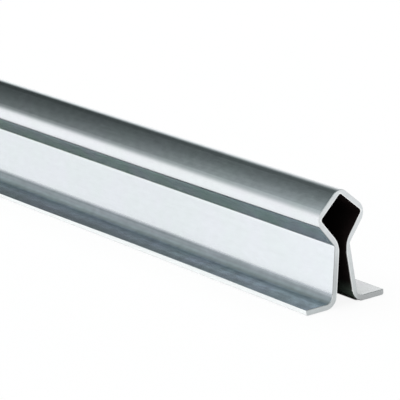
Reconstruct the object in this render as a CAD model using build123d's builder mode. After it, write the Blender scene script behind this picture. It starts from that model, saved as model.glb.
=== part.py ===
from build123d import *
import os
from math import cos, radians, tan

# A V-groove gate track: one strip of galvanised steel, roll-formed into a hollow
# diamond head on two splayed legs with turned-out feet, and cut square to a stock length.
# +X is across the track, +Y along it and +Z up. The origin is on the floor, under the
# middle of the track.

# Driving dimensions, in millimetres and degrees
stock_length = 3000.0
track_height = 60.0  # from the floor to the rounded ridge
base_width = 48.4  # over the slit edges of the two feet
head_width = 27.7  # over the rounded sides of the head
neck_gap = 4.0  # clear space between the two walls at the neck
sheet_thickness = 3.0
ridge_angle = 95.0  # between the two faces that the wheel runs on
undercut_angle = 37.0  # of the head's lower faces, from upright
leg_splay = 7.0  # of the legs, from upright
# Inside and outside radius of each bend. The tighter a bend is rolled, the more it thins.
ridge_inside_radius = 1.0
ridge_outside_radius = 5.5
side_inside_radius = 1.5
side_outside_radius = 7.0
neck_inside_radius = 2.0  # the crease on the outside of the track
neck_outside_radius = 12.0  # in the throat between the walls
foot_inside_radius = 4.0  # above the foot
foot_outside_radius = 7.0
rollover_radius = 1.2  # of the slit edges underneath, where the knife pressed the strip over
burr_radius = 0.4  # of the slit edges on top, where the knife came out
deburr = 0.25  # chamfer left on the saw cuts

half_sheet = sheet_thickness / 2

# How far the strip turns at each bend, and how far a bend's corner points off level
ridge_turn = 180 - ridge_angle
side_turn = ridge_angle / 2 + undercut_angle
side_tilt = (ridge_angle / 2 - undercut_angle) / 2
neck_turn = undercut_angle + leg_splay
neck_tilt = (undercut_angle - leg_splay) / 2


def corner_reach(radius, turn, tilt=0):
    """How far a sharp corner stands out past the bend that rounds it, measured level or
    upright, where the corner points this many degrees away from that direction."""
    return radius * (cos(radians(tilt)) / cos(radians(turn / 2)) - 1)


def beside(corners, distance):
    """The corners of a line that runs this far to the left of the line through these."""
    points = [Vector(*corner) for corner in corners]
    lefts = [(end - start).normalized().rotate(Axis.Z, 90) for start, end in zip(points, points[1:])]
    lefts = [lefts[0], *lefts, lefts[-1]]
    return [
        point + (before + after) * (distance / (1 + before.dot(after)))
        for point, before, after in zip(points, lefts, lefts[1:])
    ]


# Half of the strip's mid-plane as its sharp corners (across, up), from the ridge to the
# edge of the foot. Each corner is set by what its bend has to reach or leave clear.
ridge_z = track_height - half_sheet + corner_reach(ridge_outside_radius - half_sheet, ridge_turn)
side_x = head_width / 2 - half_sheet
side_x += corner_reach(side_outside_radius - half_sheet, side_turn, side_tilt)
side_z = ridge_z - side_x / tan(radians(ridge_angle / 2))
neck_x = neck_gap / 2 + half_sheet
neck_x -= corner_reach(neck_outside_radius - half_sheet, neck_turn, neck_tilt)
neck_z = side_z - (side_x - neck_x) / tan(radians(undercut_angle))
foot_x = neck_x + (neck_z - half_sheet) * tan(radians(leg_splay))

right_half = [
    (side_x, side_z),
    (neck_x, neck_z),
    (foot_x, half_sheet),
    (base_width / 2, half_sheet),
]
left_half = [(-x, z) for x, z in reversed(right_half)]
corners = [*left_half, (0, ridge_z), *right_half]

# The bends' radii from foot to foot, on the two faces of the strip
outer_bends = [foot_inside_radius, neck_inside_radius, side_outside_radius]
outer_bends += [ridge_outside_radius, *reversed(outer_bends)]
hollow_bends = [foot_outside_radius, neck_outside_radius, side_inside_radius]
hollow_bends += [ridge_inside_radius, *reversed(hollow_bends)]


def slit_edges(strip, level):
    """The lowest (0) or topmost (-1) edge along the outside of each foot."""
    along = strip.edges().filter_by(Axis.Y).group_by(Axis.X)
    return [outermost.sort_by(Axis.Z)[level] for outermost in (along[0], along[-1])]


with BuildPart() as track:
    # The section of the strip, from foot to foot over the ridge
    with BuildSketch(Plane.XZ.offset(-stock_length / 2)) as section:
        with BuildLine():
            outer_face = FilletPolyline(*beside(corners, half_sheet), radius=outer_bends)
            hollow_face = FilletPolyline(*beside(corners, -half_sheet), radius=hollow_bends)
            Line(outer_face @ 0, hollow_face @ 0)
            Line(outer_face @ 1, hollow_face @ 1)
        make_face()
    extrude(amount=stock_length)

    # The slit edges of the strip, along the outside of both feet
    fillet(slit_edges(track, -1), radius=burr_radius)
    fillet(slit_edges(track, 0), radius=rollover_radius)

    # The two saw cuts
    saw_cuts = track.faces().filter_by(Axis.Y)
    chamfer(saw_cuts.edges(), length=deburr)

track.part.label = "v_track"

os.makedirs("parts", exist_ok=True)
export_step(track.part, "parts/v_track.step")
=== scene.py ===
import math

import bpy
from mathutils import Matrix, Vector

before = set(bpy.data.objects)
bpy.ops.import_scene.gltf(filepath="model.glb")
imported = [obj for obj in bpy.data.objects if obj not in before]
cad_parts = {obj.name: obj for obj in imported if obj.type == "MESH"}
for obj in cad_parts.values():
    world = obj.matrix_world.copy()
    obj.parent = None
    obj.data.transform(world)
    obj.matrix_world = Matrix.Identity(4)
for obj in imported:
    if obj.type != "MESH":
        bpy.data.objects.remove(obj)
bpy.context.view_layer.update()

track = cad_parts["v_track"]
scene = bpy.context.scene

# The camera stands to the left of the near end and looks along the track
CAMERA_AT = (-0.818973, -2.610980, 0.461183)
CAMERA_YAW = 33.539  # from +Y towards +X
CAMERA_PITCH = 16.261  # downwards
CAMERA_ROLL = 3.559
SENSOR_MM = 36.0
LENS_MM = 263.24

# The finish is placed in millimetres: out from the middle of the track, along it from its
# middle, and in height over the floor. The near end is at -1500 along.
MM_PER_M = 1000.0
NEAR_STRETCH = (-1500.0, -1350.0)  # along which the finish changes towards the near end

# Lines of the section that the end face's finish follows, with slopes in degrees from upright
ROOF_SLOPE, UNDERCUT, LEG_SPLAY = 47.5, 37.0, 7.0
ROOF_HOLLOW = (0.676, 57.272)  # out and height of a point on the roof's hollow face
THROAT_UPPER = (4.416, 36.313)  # where the throat's bend meets the head
THROAT_LOWER = (2.089, 27.628)  # and where it meets the leg
THROAT_ROUNDING = 5.2


class Nodes:
    """Short names for adding and linking the nodes of one material or world."""

    def __init__(self, tree):
        self.tree = tree
        tree.nodes.clear()

    def add(self, kind, inputs=None, **settings):
        node = self.tree.nodes.new(kind)
        for key, value in settings.items():
            setattr(node, key, value)
        for key, value in (inputs or {}).items():
            self.put(node.inputs[key], value)
        return node

    def put(self, socket, value):
        if isinstance(value, bpy.types.NodeSocket):
            self.tree.links.new(value, socket)
        elif isinstance(value, bpy.types.Node):
            self.tree.links.new(value.outputs[0], socket)
        else:
            socket.default_value = value

    def math(self, operation, *values):
        inputs = dict(enumerate(values))
        return self.add("ShaderNodeMath", inputs, operation=operation).outputs[0]

    def times(self, first, *others):
        for other in others:
            first = self.math("MULTIPLY", first, other)
        return first

    def highest(self, first, *others):
        for other in others:
            first = self.math("MAXIMUM", first, other)
        return first

    def line(self, value, slope, start):
        return self.math("MULTIPLY_ADD", value, slope, start)

    def rest(self, share):
        """What a share leaves of one."""
        return self.math("SUBTRACT", 1.0, share)

    def span(self, value, start, end, low, high, smooth=True):
        """A value run from low to high as the input goes from start to end."""
        kind = "SMOOTHSTEP" if smooth else "LINEAR"
        inputs = {0: value, 1: start, 2: end, 3: low, 4: high}
        return self.add("ShaderNodeMapRange", inputs, interpolation_type=kind).outputs[0]

    def band(self, value, start, full, ebb, end, level=1.0):
        """A value that rises from start to full, stays level and falls from ebb to end."""
        rise = self.span(value, start, full, 0.0, level)
        return self.times(rise, self.span(value, ebb, end, 1.0, 0.0))

    def hill(self, value, middle, spread):
        """A bell curve of height one around the middle."""
        off = self.math("DIVIDE", self.math("SUBTRACT", value, middle), spread)
        return self.math("EXPONENT", self.times(off, off, -1.0))

    def xyz(self, vector):
        return self.add("ShaderNodeSeparateXYZ", {"Vector": vector}).outputs

    def by_parts(self, vector, factors):
        """A vector or colour times another, part by part."""
        inputs = {0: vector, 1: factors}
        return self.add("ShaderNodeVectorMath", inputs, operation="MULTIPLY").outputs[0]

    def scaled(self, colour, factor):
        """A colour times a value, where the colour is a socket or plain numbers."""
        if isinstance(colour, tuple):
            colour = colour[:3]
        inputs = {0: colour, "Scale": factor}
        return self.add("ShaderNodeVectorMath", inputs, operation="SCALE").outputs[0]

    def mix(self, factor, first, second):
        inputs = {0: factor, 6: first, 7: second}  # of the node's sockets for colours
        return self.add("ShaderNodeMix", inputs, data_type="RGBA").outputs[2]

    def noise(self, where, scale, detail):
        """Noise from 0 to 1, with its scale in cycles a metre along each axis."""
        inputs = {"Vector": self.by_parts(where, scale), "Scale": 1.0, "Detail": detail}
        return self.add("ShaderNodeTexNoise", inputs).outputs[0]

    def ramp(self, factor, stops):
        """Colours of red, green and blue that follow one another at their stops."""
        node = self.add("ShaderNodeValToRGB", {"Fac": factor})
        elements = node.color_ramp.elements
        while len(elements) < len(stops):
            elements.new(0.5)
        for element, (position, colour) in zip(elements, stops):
            element.position = position
            element.color = (*colour, 1.0)
        return node.outputs[0]


class Place:
    """Where a point lies on the track, in millimetres, as sockets of one node tree."""

    def __init__(self, n):
        self.n = n
        self.where = n.add("ShaderNodeTexCoord").outputs["Object"]
        x, y, z = n.xyz(self.where)
        self.side = n.math("SIGN", x)
        self.on_right = n.math("GREATER_THAN", x, 0.0)
        self.on_left = n.rest(self.on_right)
        self.across = n.times(x, MM_PER_M)
        self.out = n.math("ABSOLUTE", self.across)
        self.along = n.times(y, MM_PER_M)
        self.height = n.times(z, MM_PER_M)
        self.near = n.span(self.along, *NEAR_STRETCH, 1.0, 0.0, smooth=False)

    def nearing(self, far, near):
        """A value that changes along the near stretch and keeps its far value beyond."""
        return self.n.line(self.near, near - far, far)

    def by_side(self, left, right):
        """One value on the track's left half and another on its right half."""
        return self.n.line(self.on_right, right - left, left)


PLAIN_SPECULAR = 0.5


def material(name):
    made = bpy.data.materials.new(name)
    made.use_nodes = True
    return made, Nodes(made.node_tree)


def steel(n, colour, rough, metallic=1.0, normal=None, specular=PLAIN_SPECULAR):
    """A metal surface, ending the material's nodes."""
    inputs = {"Base Color": colour, "Metallic": metallic, "Roughness": rough}
    inputs["Specular IOR Level"] = specular
    if normal is not None:
        inputs["Normal"] = normal
    n.add("ShaderNodeOutputMaterial", {"Surface": n.add("ShaderNodeBsdfPrincipled", inputs)})


# Bright zinc, on the outside of the sheet
WEB_ZINC = (0.835, 0.871, 0.900, 1.0)
HEAD_ZINC = (0.85, 0.875, 0.90, 1.0)
CREASE_HIGHLIGHT_ZINC = (0.93, 0.96, 0.98, 1.0)  # painted highlight along the crease of the neck
UNDER_ZINC = (0.80, 0.84, 0.77, 1.0)  # under the head, at the near end
FAR_UNDER_ZINC = (0.88, 0.98, 0.85, 1.0)
SHADED_BEND_ZINC = (0.52, 0.575, 0.61, 1.0)  # duller zinc in the bend over the foot, painted darker as shade
SHADED_FOOT_ZINC = (0.405, 0.47, 0.535, 1.0)  # of the left foot, painted dark as shade
LIT_FOOT_ZINC = (0.93, 0.93, 0.94, 1.0)  # of the right foot, painted light as it lies in the open
SLIT_HIGHLIGHT_ZINC = (0.97, 0.985, 0.99, 1.0)  # painted highlight on the left foot's slit edge
LIP_SHADE_ZINC = (0.56, 0.57, 0.57, 1.0)  # painted dark line on the right foot's slit edge

# Heights at which the zinc changes
FOOT_END = (3.05, 3.3)
BEND_START = (3.0, 3.05)
BEND_END = (5.6, 8.3)
BEND_LOWERED = (-0.85, 0.4)  # how much lower the bend's dull, painted dark band ends, far off and near
CREASE_HIGHLIGHT = (30.4, 31.2, 31.6, 32.1)
UNDER = (31.8, 32.6, 41.2, 42.4)
NOOK = (32.3, 33.0, 33.6, 34.6)
ROUNDING = (42.4, 43.6, 44.2, 45.6)
HEAD_START = (42.0, 44.0)
ROOF_START = (50.0, 52.0)

# Shares and levels of what changes there
WEB_LEVEL = (0.95, 1.01)  # far off and near; the web is painted lighter towards the near end
CREASE_HIGHLIGHT_SHARE = 0.5
NOOK_SHADE = 0.15
# Painted shade on the left foot, darker towards its outer edge and far off
FOOT_SHADE_OUT = (16.0, 21.5)
FOOT_SHADE_INNER, FOOT_SHADE_OUTER = 1.12, (0.61, 0.67)  # levels, the outer one far off and near
FOOT_SHADE_LEVEL = (0.77, 1.0)  # of the whole foot, far off and near
ROLL_LINES = (3.5, -13.5)  # slope and start of the sine by height, for the lines in the bend
ROLL_LINE_DEPTH = 0.05
BEND_FADE = (3.9, 6.2, 1.04, 0.8)  # heights and levels
BEND_ROOT = (3.1, 4.2, 0.86, 1.0)

# The slit edges along the outside of the feet, with a painted highlight on the left one and a painted
# dark line on the right one
SLIT_TOP, SLIT_TILT = 3.0, 3.0  # the bright edge's border leans outwards as it goes up
SLIT_NEAR = (-1500.0, -1400.0, 24.3, 23.5)  # places along the track, and how far out it lies
SLIT_FAR = (-1365.0, -1215.0, 0.0, 1.9)  # and how much farther out it lies from there
SLIT_BLUR = 0.3
LIP_OUT = (23.4, 23.7)  # where the right foot's slit edge starts

# The zinc's marks, strongest where the rolls don't burnish it
ROLL_NOISE = (1800.0, 6.0, 1800.0), 3.0  # cycles a metre and detail
LINE_NOISE = (900.0, 14.0, 900.0), 2.0
GRAIN_NOISE = (420.0, 170.0, 420.0), 3.0
CLOUD_NOISE = (70.0, 45.0, 70.0), 4.0
TINT_NOISE = (55.0, 45.0, 55.0), 3.0
SPANGLE_SCALE = 300.0
MEAN_NOISE = 0.5
GRAIN_SHARE, CLOUD_SHARE, LINE_SHARE, SPANGLE_SHARE = 0.55, 0.2, 0.25, 0.06
FAINT_MARKS, STRONG_MARKS = 0.15, 2.2
UNDER_MARKS, BEND_MARKS, ROOF_MARKS = 0.4, 0.3, 0.2
HUES = [(0.38, (0.89, 1.0, 0.94)), (0.62, (1.0, 0.94, 1.06))]
FOOT_HUE = (0.45, 0.10)  # how far the hues show on the left foot and on the right one
FAINT_HUE = 0.12

# How the zinc reflects
SMOOTH_ZINC, ROLL_ROUGHNESS = 0.12, 0.05
BEND_ROUGHNESS, FOOT_ROUGHNESS, ROUNDING_ROUGHNESS = 0.38, 0.06, 0.06
UNDER_HAZE = (0.055, 0.02)  # share that isn't metallic, far off and near
SLIT_HIGHLIGHT_MATTE, LIT_FOOT_MATTE = 0.75, 0.5  # shares that aren't metallic
ROLL_BUMP = {"Strength": 0.01, "Distance": 0.0004}

# Soft forms that the rolls left, as a lean of the surface in degrees: the roof is crowned
# towards the ridge, the neck's crease keeps facing outwards, and the head's sides are full
CROWN_FROM, CROWN_TO, RIDGE_AT = 51.5, 58.8, 59.3
CROWN_LEAN = 6.0
CREASE_AT = (32.15, 31.6)  # height far off and near
CREASE_SPREAD, CREASE_LEAN = 0.42, 26.0
SIDE_AT, SIDE_SPREAD, SIDE_LEAN = 42.6, 0.9, 5.0
SIDE_FULLNESS = (1.0, -0.6)  # far off and near


class ZincZones:
    """How far a point belongs to each zone of the sheet's outside, from 0 to 1."""

    def __init__(self, n, place):
        height = place.height
        lowered = n.math("ADD", height, place.nearing(*BEND_LOWERED))
        self.foot = n.span(height, *FOOT_END, 1.0, 0.0)
        self.bend = n.span(height, *BEND_START, 0.0, 1.0)
        self.bend = n.times(self.bend, n.span(lowered, *BEND_END, 1.0, 0.0))
        self.under = n.band(height, *UNDER)
        self.head = n.span(height, *HEAD_START, 0.0, 1.0)
        self.roof = n.span(height, *ROOF_START, 0.0, 1.0)
        reach = n.line(n.math("SUBTRACT", SLIT_TOP, height), SLIT_TILT, place.out)
        border = n.math("ADD", n.span(place.along, *SLIT_NEAR), n.span(place.along, *SLIT_FAR))
        past = n.math("SUBTRACT", reach, border)
        # the painted highlight on the left foot's slit edge
        self.slit_highlight = n.times(n.span(past, -SLIT_BLUR, SLIT_BLUR, 0.0, 1.0), place.on_left)
        # the painted dark line on the right foot's slit edge
        self.lip_shade = n.times(n.span(place.out, *LIP_OUT, 0.0, 1.0), place.on_right)


def leaning_normal(n, place):
    """The surface's normal, leaned up or down by the soft forms that the rolls left."""
    height = place.height
    crown = n.span(height, CROWN_FROM, CROWN_TO, 0.0, CROWN_LEAN, smooth=False)
    crown = n.times(crown, n.span(height, CROWN_TO, RIDGE_AT, 1.0, 0.0))
    crease = n.hill(height, place.nearing(*CREASE_AT), CREASE_SPREAD)
    side = n.times(n.hill(height, SIDE_AT, SIDE_SPREAD), place.nearing(*SIDE_FULLNESS))
    lean = n.line(side, SIDE_LEAN, n.line(crease, CREASE_LEAN, crown))
    lean = n.math("RADIANS", lean)
    x, y, z = n.xyz(n.add("ShaderNodeNewGeometry").outputs["Normal"])
    sine = n.times(n.math("SINE", lean), place.side)
    cosine = n.math("COSINE", lean)
    across = n.math("SUBTRACT", n.times(x, cosine), n.times(z, sine))
    up = n.math("ADD", n.times(z, cosine), n.times(x, sine))
    return n.add("ShaderNodeCombineXYZ", {0: across, 1: y, 2: up}).outputs[0]


def clean_zinc(n, place, zones):
    """The zinc's colour without its marks."""
    height = place.height
    colour = n.scaled(WEB_ZINC, place.nearing(*WEB_LEVEL))
    colour = n.mix(zones.head, colour, HEAD_ZINC)
    # painted highlight along the crease of the neck
    colour = n.mix(n.band(height, *CREASE_HIGHLIGHT, level=CREASE_HIGHLIGHT_SHARE), colour, CREASE_HIGHLIGHT_ZINC)
    colour = n.mix(zones.under, colour, n.mix(place.near, FAR_UNDER_ZINC, UNDER_ZINC))
    # painted shade in the nook under the head
    colour = n.scaled(colour, n.rest(n.band(height, *NOOK, level=NOOK_SHADE)))
    # the bend over the foot: duller zinc, painted darker as shade, with faint roll lines
    roll_lines = n.math("SINE", n.line(height, *ROLL_LINES))
    level = n.line(roll_lines, ROLL_LINE_DEPTH, n.span(height, *BEND_FADE))
    level = n.times(level, n.span(height, *BEND_ROOT))
    colour = n.mix(zones.bend, colour, n.scaled(SHADED_BEND_ZINC, level))
    # the left foot painted dark as shade and the right foot painted light
    foot_shade = n.span(place.out, *FOOT_SHADE_OUT, FOOT_SHADE_INNER, place.nearing(*FOOT_SHADE_OUTER))
    foot_shade = n.times(foot_shade, place.nearing(*FOOT_SHADE_LEVEL))
    foot = n.mix(place.on_right, n.scaled(SHADED_FOOT_ZINC, foot_shade), LIT_FOOT_ZINC)
    return n.mix(zones.foot, colour, foot)


def marked_zinc(n, place, zones, colour):
    """The colour with spangle, clouds, drawn lines and faint hues."""
    inputs = {"Vector": place.where, "Scale": SPANGLE_SCALE}
    cells = n.add("ShaderNodeTexVoronoi", inputs, feature="SMOOTH_F1").outputs["Color"]
    spangle = n.add("ShaderNodeSeparateColor", {"Color": cells}).outputs[0]
    marks = n.times(n.noise(place.where, *GRAIN_NOISE), GRAIN_SHARE)
    marks = n.math("ADD", marks, n.times(n.noise(place.where, *CLOUD_NOISE), CLOUD_SHARE))
    marks = n.math("ADD", marks, n.times(n.noise(place.where, *LINE_NOISE), LINE_SHARE))
    marks = n.line(spangle, SPANGLE_SHARE, n.times(marks, 1.0 - SPANGLE_SHARE))
    dull = n.highest(
        n.times(zones.foot, place.on_left),
        n.times(zones.under, UNDER_MARKS),
        n.times(zones.bend, BEND_MARKS),
        n.times(zones.roof, ROOF_MARKS),
    )
    strength = n.span(dull, 0.0, 1.0, FAINT_MARKS, STRONG_MARKS, smooth=False)
    swing = n.times(n.math("SUBTRACT", marks, MEAN_NOISE), strength)
    colour = n.scaled(colour, n.math("ADD", 1.0, swing))
    hue = n.ramp(n.noise(place.where, *TINT_NOISE), HUES)
    foot_hue = n.times(zones.foot, place.by_side(*FOOT_HUE))
    return n.mix(n.highest(zones.under, foot_hue, FAINT_HUE), colour, n.by_parts(colour, hue))


def zinc():
    made, n = material("galvanised_steel")
    place = Place(n)
    zones = ZincZones(n, place)
    colour = marked_zinc(n, place, zones, clean_zinc(n, place, zones))
    # painted highlight on the left foot's slit edge
    colour = n.mix(zones.slit_highlight, colour, SLIT_HIGHLIGHT_ZINC)
    # painted dark line on the right foot's slit edge
    colour = n.mix(zones.lip_shade, colour, LIP_SHADE_ZINC)

    rolls = n.noise(place.where, *ROLL_NOISE)
    rough = n.line(rolls, ROLL_ROUGHNESS, SMOOTH_ZINC)
    rough = n.line(zones.bend, BEND_ROUGHNESS, rough)
    rough = n.line(zones.foot, FOOT_ROUGHNESS, rough)
    rough = n.math("ADD", rough, n.band(place.height, *ROUNDING, level=ROUNDING_ROUGHNESS))
    haze = n.times(zones.under, place.nearing(*UNDER_HAZE))
    # the right foot, painted light, is half matte
    lit_foot = n.times(zones.foot, place.on_right)
    metallic = n.times(
        n.rest(n.line(zones.slit_highlight, SLIT_HIGHLIGHT_MATTE, haze)),
        n.line(lit_foot, -LIT_FOOT_MATTE, 1.0),
        n.rest(zones.lip_shade),
    )
    specular = n.line(zones.lip_shade, -PLAIN_SPECULAR, PLAIN_SPECULAR)
    inputs = {"Height": rolls, "Normal": leaning_normal(n, place), **ROLL_BUMP}
    steel(n, colour, rough, metallic, n.add("ShaderNodeBump", inputs), specular)
    return made


# Painted shade on the hollow side of the sheet: matte and near black, for the dark inside of the
# track
HOLLOW_SHADE_NOISE = (60.0, 60.0, 60.0), 4.0
HOLLOW_SHADE_TONES = [(0.3, (0.012, 0.009, 0.009)), (0.7, (0.016, 0.011, 0.011))]
HOLLOW_BEND_LIGHT = (0.062, 0.079, 0.064, 1.0)  # where the floor lights the bend under the leg
HOLLOW_BEND_LIGHT_HEIGHTS = (1.2, 3.6, 5.0, 12.0)
HOLLOW_SHADE_ROUGHNESS, HOLLOW_SHADE_SWING = 0.40, 0.15


def painted_hollow_shade():
    made, n = material("painted_hollow_shade")
    place = Place(n)
    cloud = n.noise(place.where, *HOLLOW_SHADE_NOISE)
    bend = n.band(place.height, *HOLLOW_BEND_LIGHT_HEIGHTS)
    # the hollow side painted near black as shade, lighter in the bend where the floor's light reaches
    colour = n.mix(bend, n.ramp(cloud, HOLLOW_SHADE_TONES), HOLLOW_BEND_LIGHT)
    rough = n.line(cloud, HOLLOW_SHADE_SWING, HOLLOW_SHADE_ROUGHNESS)
    steel(n, colour, rough, metallic=0.0, specular=0.0)
    return made


# Sawn steel, on the two end faces
SAW_NOISE = (160.0, 1.0, 3000.0), 2.0
CUT_CLOUD_NOISE = (260.0, 260.0, 260.0), 3.0
SAW_SHARE, CUT_CLOUD_SHARE = 0.4, 0.6
CUT_TONES = (0.3, 0.7, 0.93, 1.07)  # of the noises, and the levels that they give
LOW_CUT = (0.575, 0.605, 0.61, 1.0)
HIGH_CUT = (0.70, 0.725, 0.74, 1.0)
CUT_HEIGHTS = (2.0, 44.0)  # of the low and the high colour
TOE_CUT = (0.36, 0.365, 0.37, 1.0)  # of the right foot's end, in the shade of the legs
TOE_SHARE = 0.65
TOE_ACROSS, TOE_HEIGHTS = (5.0, 10.0), (3.0, 9.0)
CUT_LEG_SHADE_START, CUT_LEG_SHADE_END, CUT_LEG_SHADE_LEVEL = (6.0, 9.0), (20.0, 30.0), 0.15  # painted shade on the left leg's end
# Painted highlight along the hollow's edge on the end face, and a painted shade line beside it on the
# right
EDGE_HIGHLIGHT_CUT = (0.93, 0.94, 0.94, 1.0)
EDGE_HIGHLIGHT_DEPTH, EDGE_HIGHLIGHT_HEIGHTS = (0.35, 0.85), (1.5, 4.5)
EDGE_SHADE_DEPTH, EDGE_SHADE_HEIGHTS, EDGE_SHADE_LEVEL = (0.3, 0.6), (26.0, 30.0, 40.0, 44.0), 0.8
CUT_ROUGHNESS, CUT_SWING = 0.3, 0.1
CUT_BUMP = {"Strength": 0.05, "Distance": 0.0003}


def past_line(n, place, through, slope):
    """How far a point is outside a line of the right half's section, in millimetres."""
    across, up = math.cos(math.radians(slope)), math.sin(math.radians(slope))
    offset = through[0] * across + through[1] * up
    reach = n.line(place.height, up, n.times(place.out, across))
    return n.math("SUBTRACT", reach, offset)


def depth_in_sheet(n, place):
    """How deep in the sheet a point of the end face is, from the hollow side."""
    roof = past_line(n, place, ROOF_HOLLOW, ROOF_SLOPE)
    head = past_line(n, place, THROAT_UPPER, -UNDERCUT)
    leg = past_line(n, place, THROAT_LOWER, LEG_SPLAY)
    wall = n.math("SMOOTH_MIN", head, leg, THROAT_ROUNDING)
    return n.highest(roof, wall)


def saw_cut():
    made, n = material("saw_cut_steel")
    place = Place(n)
    height = place.height
    marks = n.noise(place.where, *SAW_NOISE)
    cloud = n.noise(place.where, *CUT_CLOUD_NOISE)
    tone = n.math("ADD", n.times(marks, SAW_SHARE), n.times(cloud, CUT_CLOUD_SHARE))
    high = n.span(height, *CUT_HEIGHTS, 0.0, 1.0, smooth=False)
    colour = n.mix(high, LOW_CUT, HIGH_CUT)
    colour = n.scaled(colour, n.span(tone, *CUT_TONES, smooth=False))
    # the painted shade on the toe and the left leg
    toe = n.times(n.span(place.across, *TOE_ACROSS, 0.0, 1.0), TOE_SHARE)
    toe = n.times(toe, n.span(height, *TOE_HEIGHTS, 1.0, 0.0))
    colour = n.mix(toe, colour, TOE_CUT)
    cut_leg_shade = n.span(height, *CUT_LEG_SHADE_START, 0.0, 1.0)
    cut_leg_shade = n.times(cut_leg_shade, n.span(height, *CUT_LEG_SHADE_END, CUT_LEG_SHADE_LEVEL, 0.0), place.on_left)
    colour = n.scaled(colour, n.rest(cut_leg_shade))
    # a painted highlight along the hollow's edge, and a painted shade line beside it on the right
    depth = depth_in_sheet(n, place)
    edge_highlight = n.span(depth, *EDGE_HIGHLIGHT_DEPTH, 1.0, 0.0)
    edge_highlight = n.times(edge_highlight, n.span(height, *EDGE_HIGHLIGHT_HEIGHTS, 0.0, 1.0))
    colour = n.mix(edge_highlight, colour, EDGE_HIGHLIGHT_CUT)
    edge_shade = n.span(depth, *EDGE_SHADE_DEPTH, EDGE_SHADE_LEVEL, 0.0)
    edge_shade = n.times(edge_shade, place.on_right, n.band(height, *EDGE_SHADE_HEIGHTS))
    colour = n.scaled(colour, n.rest(edge_shade))
    bump = n.add("ShaderNodeBump", {"Height": marks, **CUT_BUMP})
    steel(n, colour, n.line(marks, CUT_SWING, CUT_ROUGHNESS), normal=bump)
    return made


# Filed steel, on the deburring chamfers
NICK_NOISE = (900.0, 900.0, 900.0), 2.0
FILED = [(0.3, (0.78, 0.80, 0.81)), (0.7, (0.90, 0.91, 0.92))]
LEG_HEIGHTS = (5.0, 8.0, 42.0, 45.0)
LEG_SHADE = (0.5, 0.75)  # on the left leg and on the right one
FILED_ROUGHNESS, FILED_SWING = 0.3, 0.2


def filed_edge():
    made, n = material("filed_edge")
    place = Place(n)
    nicks = n.noise(place.where, *NICK_NOISE)
    leg_shade = n.times(n.band(place.height, *LEG_HEIGHTS), place.by_side(*LEG_SHADE))
    colour = n.scaled(n.ramp(nicks, FILED), n.rest(leg_shade))
    steel(n, colour, n.line(nicks, FILED_SWING, FILED_ROUGHNESS))
    return made


# Which faces take which material, in metres and as parts of a face's normal
ZINC, SAW_CUT, HOLLOW_SHADE, FILED_EDGE = range(4)
NECK_Z, HEAD_Z = 0.033, 0.047
FLAT_END, CHAMFERED = 0.95, 0.1  # how far an end face and a chamfer at least turn to the end
CORNERWISE = 0.05  # how far a chamfer at least turns to the near left or the far right corner
LEG_BOTTOM, LEG_TOP = 0.0065, 0.0275  # where the leg is straight


def faces_the_hollow(face):
    """Whether a face is on the side of the sheet that looks at the other wall."""
    centre_z = HEAD_Z if face.center.z > NECK_Z else face.center.z
    return face.normal.x * face.center.x + face.normal.z * (face.center.z - centre_z) < 0


def is_bright_chamfer(face):
    """Whether a chamfer is bright, as all are but some in the hollow, over and under the leg, which
    take the hollow's painted shade.
    """
    on_leg = LEG_BOTTOM <= face.center.z <= LEG_TOP
    cornerwise = face.normal.x * face.normal.y > CORNERWISE
    return on_leg or not cornerwise or not faces_the_hollow(face)


def finish_of(face):
    """The number of the material that a face of the track takes."""
    if abs(face.normal.y) > FLAT_END:
        return SAW_CUT
    if abs(face.normal.y) > CHAMFERED and is_bright_chamfer(face):
        return FILED_EDGE
    # the hollow side takes the painted shade
    return HOLLOW_SHADE if faces_the_hollow(face) else ZINC


track.data.materials.clear()
for made in (zinc(), saw_cut(), painted_hollow_shade(), filed_edge()):
    track.data.materials.append(made)
for face in track.data.polygons:
    face.material_index = finish_of(face)

# Floor, in metres
FLOOR_HALF = 30.0
FLOOR_GREY = (0.85, 0.85, 0.85, 1.0)
WHITE = (1.0, 1.0, 1.0, 1.0)
SEEN_WHITE, MIRRORED_WHITE = 0.90, 0.6  # plain white's share in the floor as seen and as reflected
CURL_ACROSS = (0.0083, 0.0091, 0.012, 0.018)  # where the bends by the feet curl down on it
CURL_ALONG = (1.4960, 1.4985)


def floor_surface():
    """Pale, keeping the track's shadow, and left dark where the bends curl down on it."""
    made, n = material("pale_floor")
    rays = n.add("ShaderNodeLightPath").outputs
    x, y = n.xyz(n.add("ShaderNodeTexCoord").outputs["Object"])[:2]
    curl = n.band(n.math("ABSOLUTE", x), *CURL_ACROSS)
    curl = n.times(curl, n.span(n.math("ABSOLUTE", y), *CURL_ALONG, 1.0, 0.0))
    seen = n.times(rays["Is Camera Ray"], n.line(curl, -SEEN_WHITE, SEEN_WHITE))
    white_share = n.line(rays["Is Glossy Ray"], MIRRORED_WHITE, seen)
    lit = n.add("ShaderNodeBsdfDiffuse", {"Color": FLOOR_GREY})
    white = n.add("ShaderNodeEmission", {"Color": WHITE, "Strength": 1.0})
    surface = n.add("ShaderNodeMixShader", {0: white_share, 1: lit, 2: white})
    n.add("ShaderNodeOutputMaterial", {"Surface": surface})
    return made


floor_mesh = bpy.data.meshes.new("floor")
floor_corners = [(x * FLOOR_HALF, y * FLOOR_HALF, 0) for x, y in ((-1, -1), (1, -1), (1, 1), (-1, 1))]
floor_mesh.from_pydata(floor_corners, [], [(0, 1, 2, 3)])
floor = bpy.data.objects.new("floor", floor_mesh)
scene.collection.objects.link(floor)
floor.data.materials.append(floor_surface())

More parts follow.
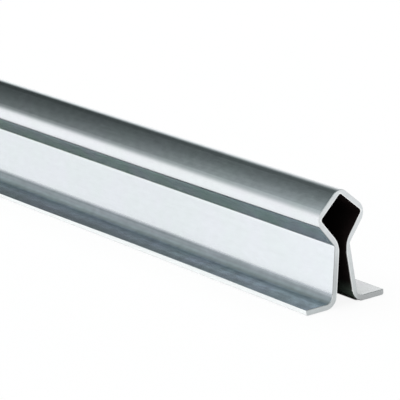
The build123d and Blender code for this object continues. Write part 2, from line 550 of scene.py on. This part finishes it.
# The studio's brightness by angle about the track's length, in degrees from the left
# horizon over the top: a left wall that dims upwards, a dark ceiling, a white right wall
ROOM = [
    (0, 1.0),
    (6, 1.0),
    (21, 0.82),
    (30, 0.66),
    (38, 0.54),
    (48, 0.42),
    (60, 0.345),
    (67, 0.30),
    (70, 0.24),
    (73, 0.17),
    (79, 0.095),
    (92, 0.080),
    (110, 0.095),
    (126, 0.33),
    (140, 0.62),
    (155, 0.92),
    (168, 1.0),
]
ROOM_TINT = (0.84, 1.0, 0.995)  # of the dark parts, which are a little green
TINT_SHARE, TINT_CURVE = 1.15, 1.5
# The studio changes along the track too, by how far a ray points along it, as a part of one
OVERHEAD = (15.0, 65.0, 110.0, 130.0)
OVERHEAD_ALONG, OVERHEAD_GAIN = (0.745, 0.855), (1.6, 0.5)
NEAR_TO_FAR = (0.765, 0.80)
RIGHT_WALL = (100.0, 125.0, 158.0, 170.0)
RIGHT_WALL_GAIN = (-0.29, 0.09)  # near and far off
CEILING = (40.0, 60.0, 110.0, 125.0)
CEILING_TILT = (66.0, 80.0, 0.14, -0.13)  # angles and gains at the near end


def tinted(brightness):
    """A grey that takes on the room's tint as it gets darker."""
    share = TINT_SHARE * (1.0 - brightness) ** TINT_CURVE
    return tuple(brightness * (1.0 + (tint - 1.0) * share) for tint in ROOM_TINT)


def studio_world():
    """The studio as the track reflects it, and plain white to the camera."""
    made = bpy.data.worlds.new("studio")
    made.use_nodes = True
    n = Nodes(made.node_tree)
    rays = n.add("ShaderNodeLightPath").outputs
    x, y, z = n.xyz(n.add("ShaderNodeTexCoord").outputs["Generated"])
    angle = n.math("DEGREES", n.math("ARCTAN2", z, n.times(x, -1.0)))
    along = n.math("ABSOLUTE", y)
    last = ROOM[-1][0]
    stops = [(degrees / last, tinted(brightness)) for degrees, brightness in ROOM]
    room = n.ramp(n.span(angle, 0.0, last, 0.0, 1.0, smooth=False), stops)
    overhead = n.math("SUBTRACT", n.span(along, *OVERHEAD_ALONG, *OVERHEAD_GAIN), 1.0)
    right_wall = n.span(along, *NEAR_TO_FAR, *RIGHT_WALL_GAIN)
    ceiling = n.times(n.span(angle, *CEILING_TILT), n.band(angle, *CEILING))
    level = n.times(
        n.line(overhead, n.band(angle, *OVERHEAD), 1.0),
        n.line(n.band(angle, *RIGHT_WALL), right_wall, 1.0),
        n.line(ceiling, n.span(along, *NEAR_TO_FAR, 1.0, 0.0), 1.0),
    )
    seen = n.mix(rays["Is Camera Ray"], n.scaled(room, level), WHITE)
    background = n.add("ShaderNodeBackground", {"Color": seen, "Strength": 1.0})
    n.add("ShaderNodeOutputWorld", {"Surface": background})
    return made


scene.world = studio_world()

SOFTBOX_AT = (0.0, 0.0, 5.0)
SOFTBOX_AIM = (0.0, 0.0, 0.0)
SOFTBOX_SIZE = 7.0
SOFTBOX_WATTS = 340.0
lamp = bpy.data.lights.new("overhead_softbox", "AREA")
lamp.shape = "SQUARE"
lamp.size = SOFTBOX_SIZE
lamp.energy = SOFTBOX_WATTS
softbox = bpy.data.objects.new("overhead_softbox", lamp)
softbox.location = SOFTBOX_AT
aim = Vector(SOFTBOX_AIM) - Vector(SOFTBOX_AT)
softbox.rotation_euler = aim.to_track_quat("-Z", "Y").to_euler()
softbox.visible_glossy = False
scene.collection.objects.link(softbox)

# Camera
yaw, pitch, roll = (math.radians(a) for a in (CAMERA_YAW, CAMERA_PITCH, CAMERA_ROLL))
ahead = Vector((math.sin(yaw) * math.cos(pitch), math.cos(yaw) * math.cos(pitch), -math.sin(pitch)))
level_right = Vector((math.cos(yaw), -math.sin(yaw), 0.0))
level_down = ahead.cross(level_right)
right = math.cos(roll) * level_right + math.sin(roll) * level_down
down = math.cos(roll) * level_down - math.sin(roll) * level_right
camera = bpy.data.objects.new("camera", bpy.data.cameras.new("camera"))
camera.data.sensor_width = SENSOR_MM
camera.data.lens = LENS_MM
turn = Matrix((right, -down, -ahead)).transposed()
camera.matrix_world = Matrix.Translation(CAMERA_AT) @ turn.to_4x4()
scene.collection.objects.link(camera)
scene.camera = camera

scene.view_settings.view_transform = "Standard"
